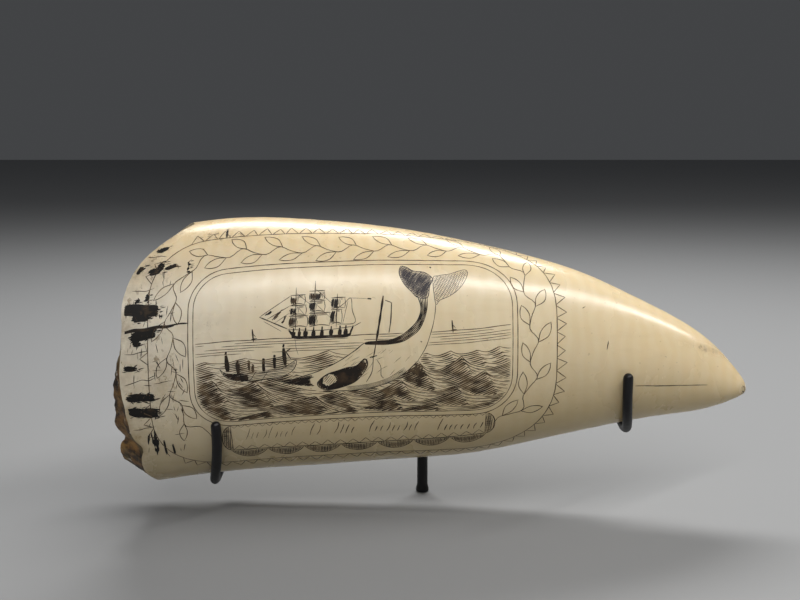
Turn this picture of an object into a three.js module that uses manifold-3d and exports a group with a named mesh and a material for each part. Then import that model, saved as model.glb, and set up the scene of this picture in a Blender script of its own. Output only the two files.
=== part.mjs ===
// A scrimshawed sperm whale tooth lying in a bent-rod cradle on one thin post. Millimetres, +Z up.
// The origin is the middle of the post's flat foot, +X runs towards the tooth's tip and +Y to its back.
import * as THREE from 'three';
import Module from 'manifold-3d';

// The tooth is drawn about its own middle plane, by stations from its root to its tip. They crowd
// towards the tip: station u of 0 to 1 lies at the sine of a quarter turn's share of the length.
const AXIS_START = -93;
const TIP_X = 97;
const TOP = [84.1, 89.5, 88.2, 82.9, 75.5, 65.1, 55.4, 44.7, 37.8];
const BOTTOM = [8.2, 13.2, 15.9, 18.4, 24.2, 29.1, 31.7, 35.0, 37.8];
const DEPTH_AT_ROOT = 0.66; // thickness over height, at the root
const DEPTH_GAIN = 0.16; // and how much rounder it is at the tip

// The broken rim round the root. How far it lies in from the outermost point, at the top and bottom.
const RIM_X = -84;
const RIM_TOP = { from: 0.2, setback: 17.6, power: 4 };
const RIM_BOTTOM = { from: 0.1, setback: 7.5, power: 2 };
const RIM_BACK = 3; // the far side of the rim reaches this much further out
const BEVEL = { least: 0.8, most: 6.2, from: 0.35, to: -0.9 }; // the sloping break below the middle
const WALL = 0.16; // the wall's thickness at the rim, as a share of the half section
const RIPPLE = 0.35;
const CHIPS = [ // turn in degrees from the back, width in degrees, depth
  { turn: 216, width: 5, depth: 1.2 },
  { turn: 97, width: 6, depth: 1.5 },
  { turn: 305, width: 9, depth: 1.2 },
  { turn: 20, width: 8, depth: 1.4 },
];

// The pulp cavity, a blunt cone from the rim inwards.
const CAVITY_END_X = -34;
const CAVITY_BLUNTNESS = 1.5;

// The cradle, of round rod: two arms round the belly, a spine that joins them and one post.
const ROD = 1.45;
const GAP = 0.35;
// Each arm's ends are in degrees from the back over the top. Its front prong leans in by a few mm.
const ROOT_ARM = { frontX: -58.4, underX: -63.2, front: 206, back: 352 };
const TIP_ARM = { frontX: 57.4, underX: 60.4, front: 187, back: 364 };
const SPINE_TURN = 307;
const SPINE_OVERRUN = 0.7; // past the middle of each arm
const POST = 1.7;
const FOOT = 2.1;
const FOOT_HEIGHT = 0.9;
const FLARE_HEIGHT = 2.4;
const POST_TOP_BELOW_SPINE = 0.5;

const AROUND = 48;
const OUTER_RINGS = 38;
const CAVITY_RINGS = 11;
const ROD_SIDES = 12;
const CAP_RINGS = 3;
const ARM_RINGS = 30;
const SPINE_RINGS = 24;
const SHORTEST_EDGE = 0.02; // finer slivers of the joins are closed up

const wasm = await Module();
wasm.setup();

// A smooth curve through equally spaced values, at u of 0 to 1.
function along(values, u) {
  const last = values.length - 1;
  const k = Math.min(Math.floor(u * last), last - 1);
  const s = u * last - k;
  const before = k > 0 ? values[k - 1] : 2 * values[0] - values[1];
  const after = k + 2 <= last ? values[k + 2] : 2 * values[last] - values[last - 1];
  const [b, c] = [values[k], values[k + 1]];
  return b + 0.5 * s * (c - before + s * (2 * before - 5 * b + 4 * c - after
    + s * (3 * (b - c) + after - before)));
}

const stationX = (u) => AXIS_START + (TIP_X - AXIS_START) * Math.sin(u * Math.PI / 2);
const stationAt = (x) => Math.asin((x - AXIS_START) / (TIP_X - AXIS_START)) * 2 / Math.PI;

// A point of the tooth: station u, turn round it from the back over the top, and share of the half
// section, which is 1 on the surface.
function toothPoint(u, turn, share = 1) {
  const [top, bottom] = [along(TOP, u), along(BOTTOM, u)];
  const half = (top - bottom) / 2;
  const deep = half * (DEPTH_AT_ROOT + DEPTH_GAIN * u * u);
  return new THREE.Vector3(stationX(u), share * deep * Math.cos(turn),
    (top + bottom) / 2 + share * half * Math.sin(turn));
}

function outward(u, turn) {
  const step = 1e-3;
  const onwards = toothPoint(u + step, turn).sub(toothPoint(u - step, turn));
  const round = toothPoint(u, turn + step).sub(toothPoint(u, turn - step));
  return round.cross(onwards).normalize();
}

const ramp = (value, from, to) => THREE.MathUtils.clamp((value - from) / (to - from), 0, 1);

// The rim's outer edge at a turn, in x.
function rimX(turn) {
  const height = Math.sin(turn);
  let x = RIM_X - RIM_BACK * (1 + Math.cos(turn)) / 2;
  x += RIM_TOP.setback * ramp(height, RIM_TOP.from, 1) ** RIM_TOP.power;
  x += RIM_BOTTOM.setback * ramp(height, RIM_BOTTOM.from, -1) ** RIM_BOTTOM.power;
  x += RIPPLE * (Math.sin(7 * turn + 1) + Math.sin(13 * turn + 2) / 2);
  for (const chip of CHIPS) {
    const away = THREE.MathUtils.euclideanModulo(THREE.MathUtils.radToDeg(turn) - chip.turn + 180, 360);
    x += chip.depth * Math.exp(-(((away - 180) / chip.width) ** 2));
  }
  return x;
}

function bevel(turn) {
  return THREE.MathUtils.lerp(BEVEL.least, BEVEL.most, ramp(Math.sin(turn), BEVEL.from, BEVEL.to));
}

// The tooth is a lathe whose height says how far along its skin a point lies: 0 to 1 is the
// outside from the tip to the rim, 1 to 2 the cavity from the rim to its end.
function toothGeometry() {
  const profile = [new THREE.Vector2(0, 0)];
  for (let i = 1; i <= OUTER_RINGS; i++) profile.push(new THREE.Vector2(1, i / OUTER_RINGS));
  for (let i = 0; i < CAVITY_RINGS; i++) profile.push(new THREE.Vector2(1, 1 + (i + 0.5) / CAVITY_RINGS));
  profile.push(new THREE.Vector2(0, 2));
  const lathe = new THREE.LatheGeometry(profile, AROUND);
  const spots = lathe.attributes.position;
  for (let i = 0; i < spots.count; i++) {
    const turn = Math.atan2(spots.getZ(i), spots.getX(i));
    const place = spots.getY(i);
    const point = place > 1 ? cavityPoint(place - 1, turn) : outerPoint(place, turn);
    spots.setXYZ(i, point.x, point.y, point.z);
  }
  return lathe;
}

function outerPoint(place, turn) {
  return toothPoint(THREE.MathUtils.lerp(1, stationAt(rimX(turn)), place), turn);
}

function cavityPoint(place, turn) {
  const first = 0.5 / CAVITY_RINGS;
  const inwards = ramp(place, first, 1);
  const x = THREE.MathUtils.lerp(rimX(turn) - bevel(turn), CAVITY_END_X, inwards);
  return toothPoint(stationAt(x), turn, (1 - WALL) * (1 - inwards ** CAVITY_BLUNTNESS));
}

// A manifold solid of a closed geometry, with the points that coincide made one.
function solid(geometry) {
  const spots = geometry.attributes.position;
  const known = new Map();
  const verts = [];
  const number = [];
  for (let i = 0; i < spots.count; i++) {
    const at = [spots.getX(i), spots.getY(i), spots.getZ(i)];
    const key = at.map((v) => Math.round(v * 1e4)).join();
    if (!known.has(key)) known.set(key, verts.push(at) - 1);
    number.push(known.get(key));
  }
  const index = geometry.index ? Array.from(geometry.index.array) : number.map((_, i) => i);
  const tris = [];
  for (let i = 0; i < index.length; i += 3) {
    const [a, b, c] = [0, 1, 2].map((j) => number[index[i + j]]);
    if (a !== b && b !== c && c !== a) tris.push(a, b, c);
  }
  return new wasm.Manifold(new wasm.Mesh({ numProp: 3, vertProperties: new Float32Array(verts.flat()),
    triVerts: new Uint32Array(tris) }));
}

function toGeometry(shape) {
  const mesh = shape.getMesh();
  const geometry = new THREE.BufferGeometry();
  geometry.setAttribute('position', new THREE.BufferAttribute(mesh.vertProperties, 3));
  geometry.setIndex(new THREE.BufferAttribute(mesh.triVerts, 1));
  return geometry;
}

// The middle of a rod that lies on the tooth.
function besideTooth(x, turn) {
  const u = stationAt(x);
  return toothPoint(u, turn).addScaledVector(outward(u, turn), ROD + GAP);
}

// A round rod with round ends: a lathed capsule bent along a curve. Up its height, whole numbers are
// rings along the curve, and the caps run past the first and the last of them.
function rod(points, rings) {
  const curve = new THREE.CatmullRomCurve3(points);
  const { normals, binormals, tangents } = curve.computeFrenetFrames(rings);
  const cap = (turn, from) => new THREE.Vector2(ROD * Math.cos(turn), from + ROD * Math.sin(turn));
  const profile = [new THREE.Vector2(0, -ROD)];
  for (let i = CAP_RINGS - 1; i > 0; i--) profile.push(cap(-i / CAP_RINGS * Math.PI / 2, 0));
  for (let i = 0; i <= rings; i++) profile.push(new THREE.Vector2(ROD, i));
  for (let i = 1; i < CAP_RINGS; i++) profile.push(cap(i / CAP_RINGS * Math.PI / 2, rings));
  profile.push(new THREE.Vector2(0, rings + ROD));
  const lathe = new THREE.LatheGeometry(profile, ROD_SIDES);
  const spots = lathe.attributes.position;
  for (let i = 0; i < spots.count; i++) {
    const ring = Math.round(THREE.MathUtils.clamp(spots.getY(i), 0, rings));
    const point = curve.getPointAt(ring / rings)
      .addScaledVector(tangents[ring], spots.getY(i) - ring)
      .addScaledVector(normals[ring], spots.getX(i))
      .addScaledVector(binormals[ring], -spots.getZ(i));
    spots.setXYZ(i, point.x, point.y, point.z);
  }
  return solid(lathe);
}

function arm({ frontX, underX, front, back }) {
  const count = 15;
  const points = Array.from({ length: count }, (_, i) => {
    const turn = THREE.MathUtils.lerp(front, back, i / (count - 1));
    const x = THREE.MathUtils.lerp(frontX, underX, THREE.MathUtils.smoothstep(turn, front, 270));
    return besideTooth(x, THREE.MathUtils.degToRad(turn));
  });
  return rod(points, ARM_RINGS);
}

function spine() {
  const count = 13;
  const turn = THREE.MathUtils.degToRad(SPINE_TURN);
  const [start, end] = [ROOT_ARM.underX - SPINE_OVERRUN, TIP_ARM.underX + SPINE_OVERRUN];
  const points = Array.from({ length: count }, (_, i) => (
    besideTooth(THREE.MathUtils.lerp(start, end, i / (count - 1)), turn)));
  return rod(points, SPINE_RINGS);
}

// The post, from its flared foot up into the spine.
function post(spot) {
  const top = spot.z - POST_TOP_BELOW_SPINE;
  const profile = [[0, 0], [FOOT, 0], [FOOT, FOOT_HEIGHT], [POST, FLARE_HEIGHT], [POST, top], [0, top]]
    .map(([r, z]) => new THREE.Vector2(r, z));
  return solid(new THREE.LatheGeometry(profile, 16).rotateX(Math.PI / 2).translate(spot.x, spot.y, 0));
}

const ivory = new THREE.MeshStandardMaterial({ color: 0xe6d3a8, roughness: 0.35, metalness: 0 });
const blackPaint = new THREE.MeshStandardMaterial({ color: 0x141414, roughness: 0.45, metalness: 0 });

function node(name, geometry, material) {
  const mesh = new THREE.Mesh(geometry, material);
  mesh.name = name;
  return mesh;
}

const postSpot = besideTooth(0, THREE.MathUtils.degToRad(SPINE_TURN));
const cradle = arm(ROOT_ARM)
  .add(arm(TIP_ARM))
  .add(spine())
  .add(post(postSpot))
  .simplify(SHORTEST_EDGE);

const work = new THREE.Group();
work.add(node('tooth', toGeometry(solid(toothGeometry())), ivory));
work.add(node('cradle', toGeometry(cradle), blackPaint));
work.position.set(-postSpot.x, -postSpot.y, 0);

const part = new THREE.Group();
part.add(work);
export default part;
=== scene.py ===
"""A scrimshawed sperm whale tooth in a bent-rod cradle: its looks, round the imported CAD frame.

The tooth's surface is a formula in millimetres, the one that the CAD solid follows but for small changes
to its broken rim. Engraved lines are drawn in a flat chart of that surface, x along the tooth and v round
it from the middle of the engraved side, and are then laid on the surface as thin inked strokes.
"""
import math
import random

import bpy
import numpy as np
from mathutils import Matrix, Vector, noise


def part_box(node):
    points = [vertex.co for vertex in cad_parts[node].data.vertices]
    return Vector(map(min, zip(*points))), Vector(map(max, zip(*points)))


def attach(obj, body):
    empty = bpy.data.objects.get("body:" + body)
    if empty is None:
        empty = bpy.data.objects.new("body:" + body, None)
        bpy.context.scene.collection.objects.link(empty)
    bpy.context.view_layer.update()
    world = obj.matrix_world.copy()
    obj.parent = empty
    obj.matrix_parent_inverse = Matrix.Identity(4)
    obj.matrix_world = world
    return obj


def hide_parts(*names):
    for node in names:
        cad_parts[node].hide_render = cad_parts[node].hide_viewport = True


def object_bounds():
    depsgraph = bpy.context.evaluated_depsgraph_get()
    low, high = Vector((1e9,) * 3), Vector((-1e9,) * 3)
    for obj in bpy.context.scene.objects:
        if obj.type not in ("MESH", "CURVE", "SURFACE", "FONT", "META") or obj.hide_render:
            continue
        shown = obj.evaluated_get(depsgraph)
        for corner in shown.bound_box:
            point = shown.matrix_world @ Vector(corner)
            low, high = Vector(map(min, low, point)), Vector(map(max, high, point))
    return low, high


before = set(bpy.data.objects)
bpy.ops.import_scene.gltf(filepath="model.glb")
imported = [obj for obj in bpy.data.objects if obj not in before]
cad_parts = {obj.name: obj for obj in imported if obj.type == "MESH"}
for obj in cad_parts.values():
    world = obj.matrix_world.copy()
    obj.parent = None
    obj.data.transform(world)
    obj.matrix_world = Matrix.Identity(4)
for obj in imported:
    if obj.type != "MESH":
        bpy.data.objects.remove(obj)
CAD_BOX = [list(corner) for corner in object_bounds()]
MM = 0.001

# ------------------------------------------------------------------ the tooth's form, in millimetres
AXIS_START, TIP_X = -93.0, 97.0
TOP = (84.1, 89.5, 88.2, 82.9, 75.5, 65.1, 55.4, 44.7, 37.8)
BOTTOM = (8.2, 13.2, 15.9, 18.4, 24.2, 29.1, 31.7, 35.0, 37.8)
DEPTH_AT_ROOT, DEPTH_GAIN = 0.66, 0.16
RIM_X, RIM_BACK = -84.0, 3.0
RIM_TOP_FROM, RIM_TOP_SETBACK, RIM_TOP_POWER = 0.2, 17.6, 4
RIM_BOTTOM_FROM, RIM_BOTTOM_SETBACK, RIM_BOTTOM_POWER = 0.1, 5.8, 2
BEVEL_LEAST, BEVEL_MOST, BEVEL_FROM, BEVEL_TO = 0.8, 6.2, 0.35, -0.9
RIPPLE = 0.35
CHIPS = ((216, 5, 1.2), (97, 6, 1.5), (305, 9, 1.2), (20, 8, 1.4))  # turn and width in degrees, depth
WALL = 0.16
CAVITY_END_X, CAVITY_BLUNTNESS = -34.0, 1.5
FRONT_BEVEL_GAIN, FRONT_BEVEL_FROM, FRONT_BEVEL_TO = 1.2, 0.1, -0.64
RIM_MARGIN = 0.9

TOOTH_LOW, TOOTH_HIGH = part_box("tooth")
SHIFT = np.array([TOOTH_HIGH[0] / MM - TIP_X, (TOOTH_LOW[1] + TOOTH_HIGH[1]) / MM / 2, 0.0])

# ------------------------------------------------------------------ the cradle, in millimetres
ROD, ROD_GAP = 1.45, 0.35
ROOT_ARM = dict(front_x=-58.4, under_x=-63.2, front=206, back=352)
TIP_ARM = dict(front_x=57.4, under_x=60.4, front=187, back=364)
SPINE_TURN = 307
POST, FOOT, FOOT_HEIGHT, FLARE_HEIGHT = 1.7, 2.1, 0.9, 2.4


def between(a, b, c, d, s):
    """A smooth curve from b to c, with a and d the points beyond them, at s of 0 to 1."""
    return b + 0.5 * s * (c - a + s * (2 * a - 5 * b + 4 * c - d + s * (3 * (b - c) + d - a)))


def along(values, u):
    """A smooth curve through equally spaced values, at u of 0 to 1."""
    values = np.asarray(values, float)
    last = len(values) - 1
    k = np.clip((u * last).astype(int), 0, last - 1)
    s = u * last - k
    row = np.concatenate([[2 * values[0] - values[1]], values, [2 * values[-1] - values[-2]]])
    a, b, c, d = (row[k + i] for i in range(4))
    return between(a, b, c, d, s)


def station(x):
    return np.arcsin(np.clip((x - AXIS_START) / (TIP_X - AXIS_START), -1, 1)) * 2 / math.pi


def station_x(u):
    return AXIS_START + (TIP_X - AXIS_START) * np.sin(u * math.pi / 2)


def smooth_point(u, turn, share=1.0):
    """The even form: turn runs round from the back over the top, and share is 1 on the surface."""
    top, bottom = along(TOP, u), along(BOTTOM, u)
    half = (top - bottom) / 2
    deep = half * (DEPTH_AT_ROOT + DEPTH_GAIN * u * u)
    y = share * deep * np.cos(turn)
    z = (top + bottom) / 2 + share * half * np.sin(turn)
    return np.stack([station_x(u), y, z], -1)


def outward(u, turn):
    step = 1e-4
    inner = np.clip(u, 0, 1 - 2 * step)
    onwards = smooth_point(inner + step, turn) - smooth_point(inner - step, turn)
    around = smooth_point(inner, turn + step) - smooth_point(inner, turn - step)
    normal = np.cross(around, onwards)
    return normal / np.maximum(np.linalg.norm(normal, axis=-1, keepdims=True), 1e-12)


def relief(x, turn):
    """The hand-scraped and polished unevenness, in millimetres, never proud of the even form."""
    broad = 0.07 * np.sin(0.11 * x + 1.2 * np.sin(turn)) + 0.05 * np.sin(0.05 * x + 2 * turn + 1)
    ring = 0.012 * np.sin(0.9 * x + 2.5 * np.cos(turn)) * (1 + np.sin(0.13 * x))
    facet = 0.035 * np.sin(5 * turn + 0.07 * x) * np.sin(0.19 * x + 2)
    return broad + ring + facet - 0.16


def surface(x, turn, lift=0.0):
    """Points of the finished surface, in metres in the row's frame."""
    u = station(x)
    height = relief(x, turn) * np.clip((TIP_X - x) / 12, 0, 1) + lift
    point = smooth_point(u, turn) + outward(u, turn) * height[..., None]
    return (point + SHIFT) * MM


def make_chart():
    """For rows along the tooth, half its girth, and the turn at each share of that girth from the front."""
    rows, shares = 97, np.linspace(-1, 1, 301)
    stations = np.linspace(0, 0.995, rows)
    turns = np.linspace(0, 2 * math.pi, 1441)
    girths, table = [], []
    for u in stations:
        ring = smooth_point(np.full_like(turns, u), turns)
        steps = np.linalg.norm(np.diff(ring, axis=0), axis=1)
        arc = np.concatenate([[0], np.cumsum(steps)])
        girth = arc[-1] / 2
        girths.append(girth)
        table.append(np.interp(-shares * girth, arc - girth, turns))
    return stations, np.array(girths), np.array(table)


STATIONS, GIRTHS, TURNS = make_chart()


def chart_turn(x, v):
    """The turn at chart place x, v."""
    u = station(x)
    row = np.clip(u / STATIONS[-1] * (len(STATIONS) - 1), 0, len(STATIONS) - 1.001)
    girth = np.interp(u, STATIONS, GIRTHS)
    column = np.clip((v / girth + 1) / 2 * (TURNS.shape[1] - 1), 0, TURNS.shape[1] - 1.001)
    r, c = row.astype(int), column.astype(int)
    fr, fc = row - r, column - c
    low = TURNS[r, c] * (1 - fc) + TURNS[r, c + 1] * fc
    high = TURNS[r + 1, c] * (1 - fc) + TURNS[r + 1, c + 1] * fc
    return low * (1 - fr) + high * fr


def ramp(value, start, end):
    return np.clip((value - start) / (end - start), 0, 1)


def rim_x(turn):
    """The rim's outer edge at a turn."""
    height = np.sin(turn)
    x = RIM_X - RIM_BACK * (1 + np.cos(turn)) / 2
    x = x + RIM_TOP_SETBACK * ramp(height, RIM_TOP_FROM, 1) ** RIM_TOP_POWER
    x = x + RIM_BOTTOM_SETBACK * ramp(height, RIM_BOTTOM_FROM, -1) ** RIM_BOTTOM_POWER
    x = x + RIPPLE * (np.sin(7 * turn + 1) + np.sin(13 * turn + 2) / 2)
    for middle, width, depth in CHIPS:
        away = (np.degrees(turn) - middle + 180) % 360 - 180
        x = x + depth * np.exp(-((away / width) ** 2))
    return x


def bevel(turn):
    """How far the broken rim slopes on from its outer edge. It slopes further at the front's foot."""
    share = ramp(np.sin(turn), BEVEL_FROM, BEVEL_TO)
    front = ramp(np.sin(turn), FRONT_BEVEL_FROM, FRONT_BEVEL_TO) * np.clip(0.4 - np.cos(turn), 0, 1)
    return BEVEL_LEAST + (BEVEL_MOST - BEVEL_LEAST) * share + FRONT_BEVEL_GAIN * front


# ------------------------------------------------------------------ materials
class Shader:
    """A small helper that builds one Principled material from named nodes."""

    def __init__(self, name):
        self.material = bpy.data.materials.new(name)
        self.material.use_nodes = True
        self.tree = self.material.node_tree
        self.out = self.tree.nodes["Principled BSDF"]

    def node(self, kind, ins=None, **settings):
        made = self.tree.nodes.new("ShaderNode" + kind)
        for key, value in settings.items():
            setattr(made, key, value)
        for key, value in (ins or {}).items():
            self.feed(made, key, value)
        return made

    def feed(self, node, key, value):
        socket = node.inputs[key]
        if isinstance(value, bpy.types.NodeSocket):
            self.tree.links.new(value, socket)
        elif isinstance(value, tuple) and len(value) == 3 and socket.type == "RGBA":
            socket.default_value = (*value, 1.0)
        else:
            socket.default_value = value

    def set(self, **values):
        for key, value in values.items():
            self.feed(self.out, key.replace("_", " "), value)

    def place(self):
        return self.node("TexCoord").outputs["Object"]

    def stretched(self, scale):
        """Object coordinates, stretched by a scale for each axis."""
        return self.node("Mapping", {"Vector": self.place(), "Scale": scale}).outputs["Vector"]

    def axis(self, name):
        return self.node("SeparateXYZ", {"Vector": self.place()}).outputs[name]

    def noise(self, scale, detail=4.0, roughness=0.55, stretch=None, distortion=0.0):
        where = self.stretched(stretch) if stretch else self.place()
        ins = {"Vector": where, "Scale": scale, "Detail": detail, "Roughness": roughness}
        ins["Distortion"] = distortion
        return self.node("TexNoise", ins).outputs["Fac"]

    def span(self, value, start, end, low=0.0, high=1.0):
        """Maps start..end to low..high, held at both ends."""
        ins = {"Value": value, "From Min": start, "From Max": end, "To Min": low, "To Max": high}
        return self.node("MapRange", ins, clamp=True).outputs["Result"]

    def math(self, operation, a, b=0.0):
        made = self.node("Math", operation=operation)
        self.feed(made, 0, a)
        self.feed(made, 1, b)
        return made.outputs[0]

    def mix(self, share, a, b, blend="MIX"):
        made = self.node("Mix", data_type="RGBA", blend_type=blend)
        for key, value in (("Factor", share), (6, a), (7, b)):
            self.feed(made, key, value)
        return made.outputs[2]

    def attribute(self, name):
        return self.node("Attribute", attribute_name=name).outputs["Fac"]

    def bump(self, height, strength, distance):
        ins = {"Height": height, "Strength": strength, "Distance": distance}
        return self.node("Bump", ins).outputs["Normal"]


def ivory_material():
    """Polished tooth: cream, whiter at the root, warm at the tip and along the top, with faint rings."""
    s = Shader("polished_tooth")
    x, z = s.axis("X"), s.axis("Z")
    cream, white, warm = (0.76, 0.64, 0.43), (0.74, 0.68, 0.56), (0.74, 0.55, 0.28)
    colour = s.mix(s.span(x, -0.085, -0.02), white, cream)
    colour = s.mix(s.span(x, 0.02, 0.095, 0.0, 0.55), colour, warm)
    top = s.math("ADD", s.span(z, 0.068, 0.09, 0.0, 0.75), s.span(s.noise(14.0), 0.5, 0.8, 0.0, 0.3))
    colour = s.mix(top, colour, warm)
    cloud = s.noise(38.0, 5.0, stretch=(1.0, 1.0, 0.6))
    colour = s.mix(s.span(cloud, 0.45, 0.75, 0.0, 0.35), colour, (0.62, 0.47, 0.25))
    ring_shape = s.node(
        "TexWave",
        {"Vector": s.place(), "Scale": 75.0, "Distortion": 5.0, "Detail": 3.0, "Detail Scale": 1.4},
        bands_direction="X",
    ).outputs["Fac"]
    colour = s.mix(s.span(ring_shape, 0.2, 0.9, 0.0, 0.14), colour, (0.86, 0.77, 0.58))
    fibre = s.noise(240.0, 3.0, stretch=(0.12, 1.0, 1.0))
    colour = s.mix(s.span(fibre, 0.55, 0.8, 0.0, 0.25), colour, (0.55, 0.42, 0.24))
    speck = s.noise(900.0, 1.0)
    colour = s.mix(s.span(speck, 0.72, 0.8, 0.0, 0.35), colour, (0.33, 0.23, 0.12))
    dirt = s.attribute("dirt")
    smear = s.math("MULTIPLY", dirt, s.span(s.noise(170.0, 6.0, 0.7), 0.35, 0.65, 0.0, 0.75))
    grime = s.noise(520.0, 4.0, 0.7, stretch=(1.0, 1.0, 0.55))
    specks = s.math("MULTIPLY", s.span(dirt, 0.1, 0.6), s.span(grime, 0.56, 0.62, 0.0, 0.85))
    patchy = s.math("MAXIMUM", smear, specks)
    colour = s.mix(patchy, colour, (0.17, 0.11, 0.05))
    # painted shade: the outside turns darker and yellower towards its underside, which faces away from the
    # light
    colour = s.mix(s.attribute("painted_underside_shade"), colour, (0.46, 0.35, 0.16))
    rough = s.math("ADD", s.span(cloud, 0.3, 0.8, 0.22, 0.36), s.math("MULTIPLY", patchy, 0.3))
    grain = s.math("ADD", s.math("MULTIPLY", fibre, 0.6), s.math("MULTIPLY", s.noise(60.0), 0.6))
    s.set(Base_Color=colour, Roughness=rough, Normal=s.bump(grain, 0.25, 0.0002))
    s.set(Subsurface_Weight=0.18, Subsurface_Radius=(0.004, 0.0025, 0.0012), Subsurface_Scale=0.6)
    s.set(Specular_IOR_Level=0.55, IOR=1.54)
    return s.material


def broken_material():
    """The broken rim: amber, black and brown, fibrous along the tooth, and clean at its top."""
    s = Shader("broken_rim")
    patch = s.noise(95.0, 6.0, 0.65)
    blotch = s.noise(160.0, 5.0, 0.6, stretch=(1.0, 1.0, 0.5))
    fibre = s.noise(600.0, 5.0, 0.6, stretch=(0.25, 1.0, 1.0))
    colour = s.mix(s.span(patch, 0.4, 0.55), (0.27, 0.13, 0.025), (0.018, 0.010, 0.006))
    colour = s.mix(s.span(blotch, 0.52, 0.62), colour, (0.12, 0.09, 0.03))
    colour = s.mix(s.span(fibre, 0.52, 0.72, 0.0, 0.7), colour, (0.38, 0.23, 0.06))
    colour = s.mix(s.span(s.noise(330.0, 3.0), 0.65, 0.7), colour, (0.60, 0.54, 0.44))
    clean = s.span(s.math("ADD", s.axis("Z"), s.math("MULTIPLY", patch, 0.01)), 0.056, 0.064)
    bare = s.mix(s.span(fibre, 0.4, 0.7, 0.0, 0.6), (0.70, 0.60, 0.42), (0.42, 0.32, 0.18))
    colour = s.mix(clean, colour, bare)
    s.set(Base_Color=colour, Roughness=s.span(patch, 0.3, 0.7, 0.4, 0.75))
    s.set(Normal=s.bump(s.math("ADD", fibre, patch), 0.8, 0.0006))
    return s.material


def cavity_material():
    """Inside the pulp cavity: ringed, tan, darker towards its end."""
    s = Shader("pulp_cavity")
    x = s.axis("X")
    patch = s.noise(90.0, 6.0, 0.65)
    ring_shape = s.node(
        "TexWave",
        {"Vector": s.place(), "Scale": 140.0, "Distortion": 3.0, "Detail": 3.0, "Detail Scale": 2.0},
        bands_direction="X",
    ).outputs["Fac"]
    colour = s.mix(s.span(x, -0.085, -0.04), (0.42, 0.31, 0.17), (0.13, 0.08, 0.04))
    colour = s.mix(s.span(patch, 0.45, 0.7, 0.0, 0.7), colour, (0.17, 0.10, 0.05))
    colour = s.mix(s.span(ring_shape, 0.3, 0.8, 0.0, 0.3), colour, (0.55, 0.43, 0.27))
    s.set(Base_Color=colour, Roughness=s.span(patch, 0.3, 0.7, 0.55, 0.85))
    height = s.math("ADD", s.math("MULTIPLY", ring_shape, 0.5), patch)
    s.set(Normal=s.bump(height, 0.6, 0.0006))
    return s.material


def ink_material(name, dark, faded, scale=260.0, fade=(0.42, 0.68)):
    """Lamp black rubbed into cuts, faded to brown in places."""
    s = Shader(name)
    worn = s.noise(scale, 3.0)
    s.set(Base_Color=s.mix(s.span(worn, *fade), dark, faded))
    s.set(Roughness=s.span(worn, 0.3, 0.7, 0.45, 0.65), Specular_IOR_Level=0.3)
    return s.material


def paint_material():
    """Satin black paint on steel rod, slightly lumpy, greyed where it has rubbed."""
    s = Shader("satin_black_paint")
    wear = s.noise(450.0, 5.0, 0.65)
    blotch = s.noise(70.0, 3.0)
    colour = s.mix(s.span(wear, 0.6, 0.78, 0.0, 0.6), (0.004, 0.004, 0.005), (0.022, 0.021, 0.02))
    s.set(Base_Color=colour, Roughness=s.span(blotch, 0.3, 0.7, 0.34, 0.55))
    s.set(Normal=s.bump(s.noise(700.0, 4.0), 0.35, 0.0002), Specular_IOR_Level=0.35)
    return s.material


IVORY, BROKEN, CAVITY = ivory_material(), broken_material(), cavity_material()
LINE_INK = ink_material("line_ink", (0.040, 0.026, 0.014), (0.15, 0.10, 0.05))
DARK_INK = ink_material("dark_ink", (0.013, 0.009, 0.006), (0.075, 0.045, 0.022), fade=(0.5, 0.72))
BLUE_INK = ink_material("fluke_ink", (0.028, 0.022, 0.026), (0.11, 0.09, 0.085))
BLOT_INK = ink_material("blot_ink", (0.006, 0.005, 0.004), (0.05, 0.032, 0.016), 420.0, (0.56, 0.7))
PAINT = paint_material()


# ------------------------------------------------------------------ meshes
def add_mesh(name, verts, faces, materials, smooth=True):
    mesh = bpy.data.meshes.new(name)
    mesh.from_pydata([tuple(v) for v in verts], [], [tuple(int(i) for i in f) for f in faces])
    for material in materials:
        mesh.materials.append(material)
    mesh.polygons.foreach_set("use_smooth", [smooth] * len(mesh.polygons))
    mesh.update()
    made = bpy.data.objects.new(name, mesh)
    bpy.context.scene.collection.objects.link(made)
    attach(made, "root")
    return made


def blob(x, v, mx, mv, sx, sv, power=1.0):
    """A soft patch in the chart, 1 at its middle."""
    return np.exp(-((np.abs((x - mx) / sx) ** 2 + np.abs((v - mv) / sv) ** 2) ** power))


def chart_v(x, turn):
    """The chart's v at a turn: the arc from the front, upwards."""
    u = station(x)
    girth = np.interp(u, STATIONS, GIRTHS)
    rows = np.clip(np.round(u / STATIONS[-1] * (len(STATIONS) - 1)).astype(int), 0, len(STATIONS) - 1)
    shares = np.linspace(-1, 1, TURNS.shape[1])
    flat_turn, flat_row = np.ravel(turn), np.ravel(rows)
    share = np.empty(flat_turn.shape)
    for row in np.unique(flat_row):
        mine = flat_row == row
        share[mine] = np.interp(flat_turn[mine], TURNS[row][::-1], shares[::-1])
    return share.reshape(np.shape(turn)) * girth


DIRT = (  # smudged places of the chart: x, v, reach along, reach round, weight
    (-57, 39, 8, 3, 0.75),
    (-76, 22, 7, 9, 0.35),
    (-74, 5, 6, 9, 0.5),
    (-72, -6, 5, 7, 0.45),
    (-80, -20, 4, 9, 0.5),
    (-77, 30, 6, 4, 0.5),
    (-83, 12, 3, 5, 0.6),
    (-83, -8, 3, 8, 0.55),
    (-60, 12, 6, 2, 0.25),
    (84, 9, 7, 1.6, 0.5),
    (96, -1, 1.4, 2.2, 1.0),
)


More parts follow.
